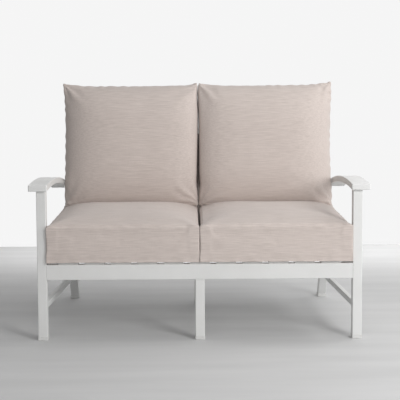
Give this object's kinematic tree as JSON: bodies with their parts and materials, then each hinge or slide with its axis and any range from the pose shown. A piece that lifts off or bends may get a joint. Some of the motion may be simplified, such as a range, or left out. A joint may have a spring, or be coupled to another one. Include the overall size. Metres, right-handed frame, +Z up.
{
  "type": "patio loveseat",
  "caption": "Two-person outdoor seat with a square-tube metal frame, arched flat arms, slanting rear legs and loose seat and back cushions",
  "frame": {"origin": "centre of the bounding box in plan, at floor level", "axes": "+X along the seat to the right as seen from the front, +Y towards the back, +Z up; the front faces -Y"},
  "size_m": [1.372, 0.8034, 1.0214],
  "materials": {
    "white_metal": "satin",
    "cushion_fabric": "matte",
    "fill_foam": "matte",
    "glide_plastic": "matte",
    "cap_plastic": "satin"
  },
  "bodies": {
    "frame": {"arm_left": "white_metal", "arm_right": "white_metal", "back_slat_1": "white_metal", "back_slat_2": "white_metal", "back_slat_3": "white_metal", "back_slat_4": "white_metal", "back_slat_5": "white_metal", "back_slat_6": "white_metal", "back_slat_7": "white_metal", "back_slat_8": "white_metal", "back_slat_9": "white_metal", "back_top_rail": "white_metal", "centre_bearer": "white_metal", "centre_leg_front": "white_metal", "centre_leg_rear": "white_metal", "cross_bar_left": "white_metal", "cross_bar_right": "white_metal", "front_leg_left": "white_metal", "front_leg_right": "white_metal", "front_rail": "white_metal", "glide_centre_front": "glide_plastic", "glide_centre_rear": "glide_plastic", "glide_front_left": "glide_plastic", "glide_front_right": "glide_plastic", "glide_rear_left": "glide_plastic", "glide_rear_right": "glide_plastic", "post_cap_left": "cap_plastic", "post_cap_right": "cap_plastic", "rear_leg_left": "white_metal", "rear_leg_right": "white_metal", "rear_rail": "white_metal", "seat_slat_01": "white_metal", "seat_slat_02": "white_metal", "seat_slat_03": "white_metal", "seat_slat_04": "white_metal", "seat_slat_05": "white_metal", "seat_slat_06": "white_metal", "seat_slat_07": "white_metal", "seat_slat_08": "white_metal", "seat_slat_09": "white_metal", "seat_slat_10": "white_metal", "seat_slat_11": "white_metal", "side_rail_left": "white_metal", "side_rail_right": "white_metal", "stretcher_left": "white_metal", "stretcher_right": "white_metal"},
    "seat_left": {"seat_cushion_left": "cushion_fabric", "seat_foam_left": "fill_foam"},
    "seat_right": {"seat_cushion_right": "cushion_fabric", "seat_foam_right": "fill_foam"},
    "back_left": {"back_cushion_left": "cushion_fabric", "back_fill_left": "fill_foam"},
    "back_right": {"back_cushion_right": "cushion_fabric", "back_fill_right": "fill_foam"}
  },
  "joints": [
    {"name": "seat_left_slide", "type": "slide", "parent": "frame", "child": "seat_left", "axis": [0, -1, 0], "range_m": [0, 0.3]},
    {"name": "seat_right_slide", "type": "slide", "parent": "frame", "child": "seat_right", "axis": [0, -1, 0], "range_m": [0, 0.3]},
    {"name": "back_left_lift", "type": "slide", "parent": "frame", "child": "back_left", "axis": [0, 0, 1], "range_m": [0, 0.35]},
    {"name": "back_right_lift", "type": "slide", "parent": "frame", "child": "back_right", "axis": [0, 0, 1], "range_m": [0, 0.35]}
  ]
}
